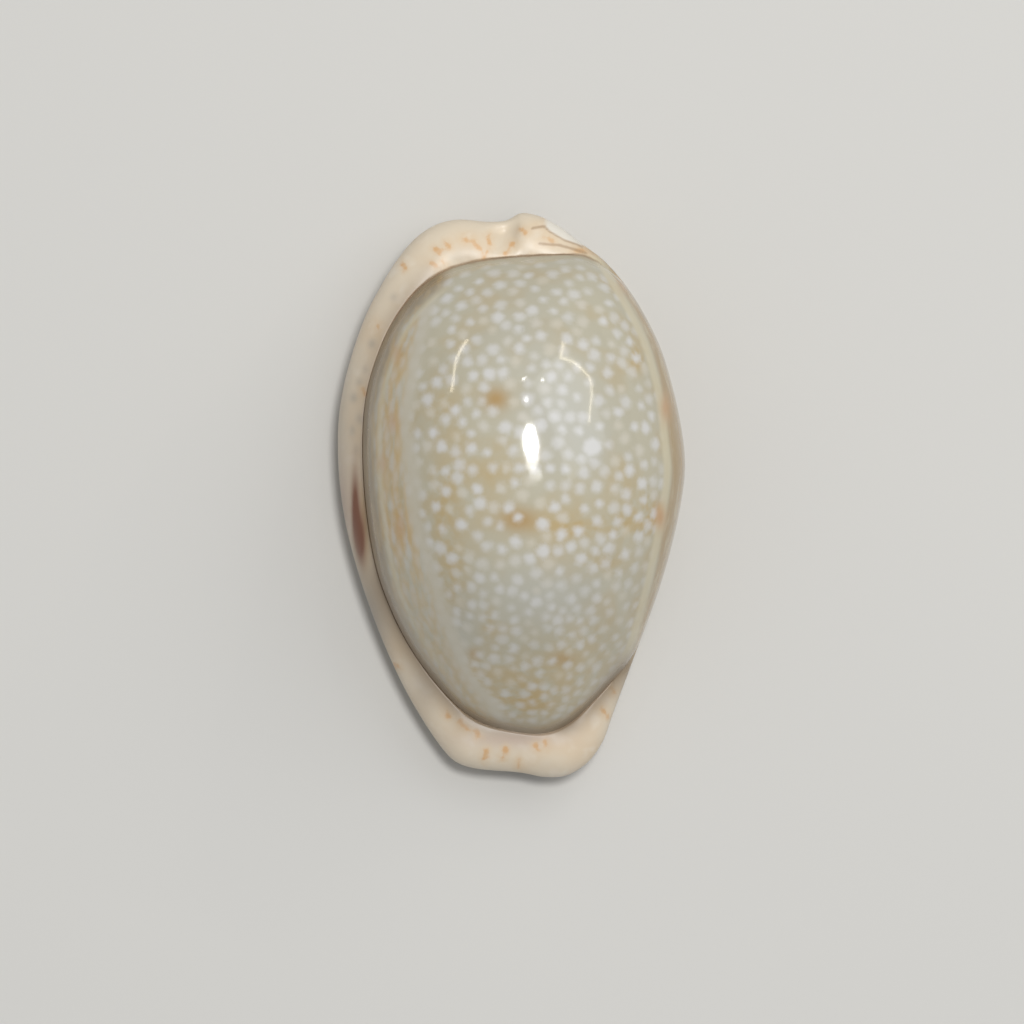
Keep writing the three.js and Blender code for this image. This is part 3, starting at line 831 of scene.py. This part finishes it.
bm = bmesh.new()
bmesh.ops.create_grid(bm, x_segments=1, y_segments=1, size=studio["floorSize"] / 2)
floorMesh = bpy.data.meshes.new("floor")
bm.to_mesh(floorMesh)
bm.free()
floor = bpy.data.objects.new("floor", floorMesh)
bpy.context.scene.collection.objects.link(floor)
floorPaint = bpy.data.materials.new("paleFloor")
floorPaint.use_nodes = True
floorShader = floorPaint.node_tree.nodes["Principled BSDF"]
floorShader.inputs["Base Color"].default_value = colour(studio["floorColour"])
floorShader.inputs["Roughness"].default_value = 0.8
floorMesh.materials.append(floorPaint)


def areaLight(name, position, target, size, power, tint="#ffffff", form="RECTANGLE"):
    data = bpy.data.lights.new(name, "AREA")
    data.shape = form
    data.size, data.size_y = size
    data.energy = power
    data.color = colour(tint)[:3]
    lamp = bpy.data.objects.new(name, data)
    lamp.location = position
    lamp.rotation_euler = (Vector(target) - Vector(position)).to_track_quat("-Z", "Y").to_euler()
    bpy.context.scene.collection.objects.link(lamp)
    return lamp


def strip(name, start, end, width, radiance):  # a thin lamp between two points, facing the shell
    start, end = Vector(start), Vector(end)
    middle, along = (start + end) / 2, (end - start).normalized()
    away = (middle - Vector((0, 0, 0.015))).normalized()
    across = away.cross(along).normalized()
    size = (end - start).length
    lamp = areaLight(name, middle, (0, 0, 0), (size, width), radiance * 4 * size * width, "#fff3d8")
    lamp.rotation_euler = Matrix((along, across, along.cross(across))).transposed().to_euler()


lights = {
    # the key and its dimmer tail: place, size and power
    "keys": {
        "keySoftbox": ((0.053, 0.075, 0.5), (0.092, 0.085), 1.4),
        "keyTail": ((0.065, 0.02, 0.5), (0.05, 0.08), 0.1),
        "keyTailEnd": ((0.085, -0.02, 0.5), (0.04, 0.08), 0.05),
    },
    "smallLamps": [(0.0, 0.398, 0.5), (0.165, 0.373, 0.5), (0.026, 0.228, 0.5)],
    "smallLampSize": (0.022, 0.022),
    "smallLampPower": 0.04,
    "wideBox": ((0.4, 0.28, 0.5), (0.65, 0.45), 1.0),
    # thin strips to either side: from, to, width and radiance
    "strips": {
        "leftStrip": ((-0.3, 0.53, 0.03), (-0.48, 0.28, 0.245), 0.016, 7),
        "upperRightStrip": ((0.24, 0.54, 0.2), (0.25, 0.46, 0.3), 0.014, 6),
        "rightStrip": ((0.25, 0.46, 0.31), (0.46, 0.3, 0.26), 0.016, 7),
        "lowerRightStrip": ((0.46, 0.3, 0.26), (0.45, 0.15, 0.35), 0.014, 6),
    },
}
overShell, onDome = (0, 0, 0.01), (0, 0, 0.015)
for name, (position, size, power) in lights["keys"].items():
    areaLight(name, position, overShell, size, power, form="ELLIPSE")
for position in lights["smallLamps"]:
    size, power = lights["smallLampSize"], lights["smallLampPower"]
    areaLight("smallLamp", position, onDome, size, power, form="ELLIPSE")
boxPlace, boxSize, boxPower = lights["wideBox"]
areaLight("wideBox", boxPlace, overShell, boxSize, boxPower, "#f4f8ff")
for name, (start, end, width, radiance) in lights["strips"].items():
    strip(name, start, end, width, radiance)

world = bpy.data.worlds.new("studio")
world.use_nodes = True
background = world.node_tree.nodes["Background"]
background.inputs["Color"].default_value = colour(studio["worldColour"])
background.inputs["Strength"].default_value = studio["worldStrength"]
bpy.context.scene.world = world

camera = bpy.data.objects.new("camera", bpy.data.cameras.new("camera"))
camera.location = (studio["aim"][0], studio["aim"][1], studio["cameraHeight"])
distance = studio["cameraHeight"] - studio["viewHeight"]
camera.data.sensor_width = 36
camera.data.lens = 36 * distance / studio["viewWidth"]
camera.data.clip_start = 0.01
bpy.context.scene.collection.objects.link(camera)
bpy.context.scene.camera = camera
bpy.context.scene.view_settings.view_transform = "Standard"
print("studio ready")
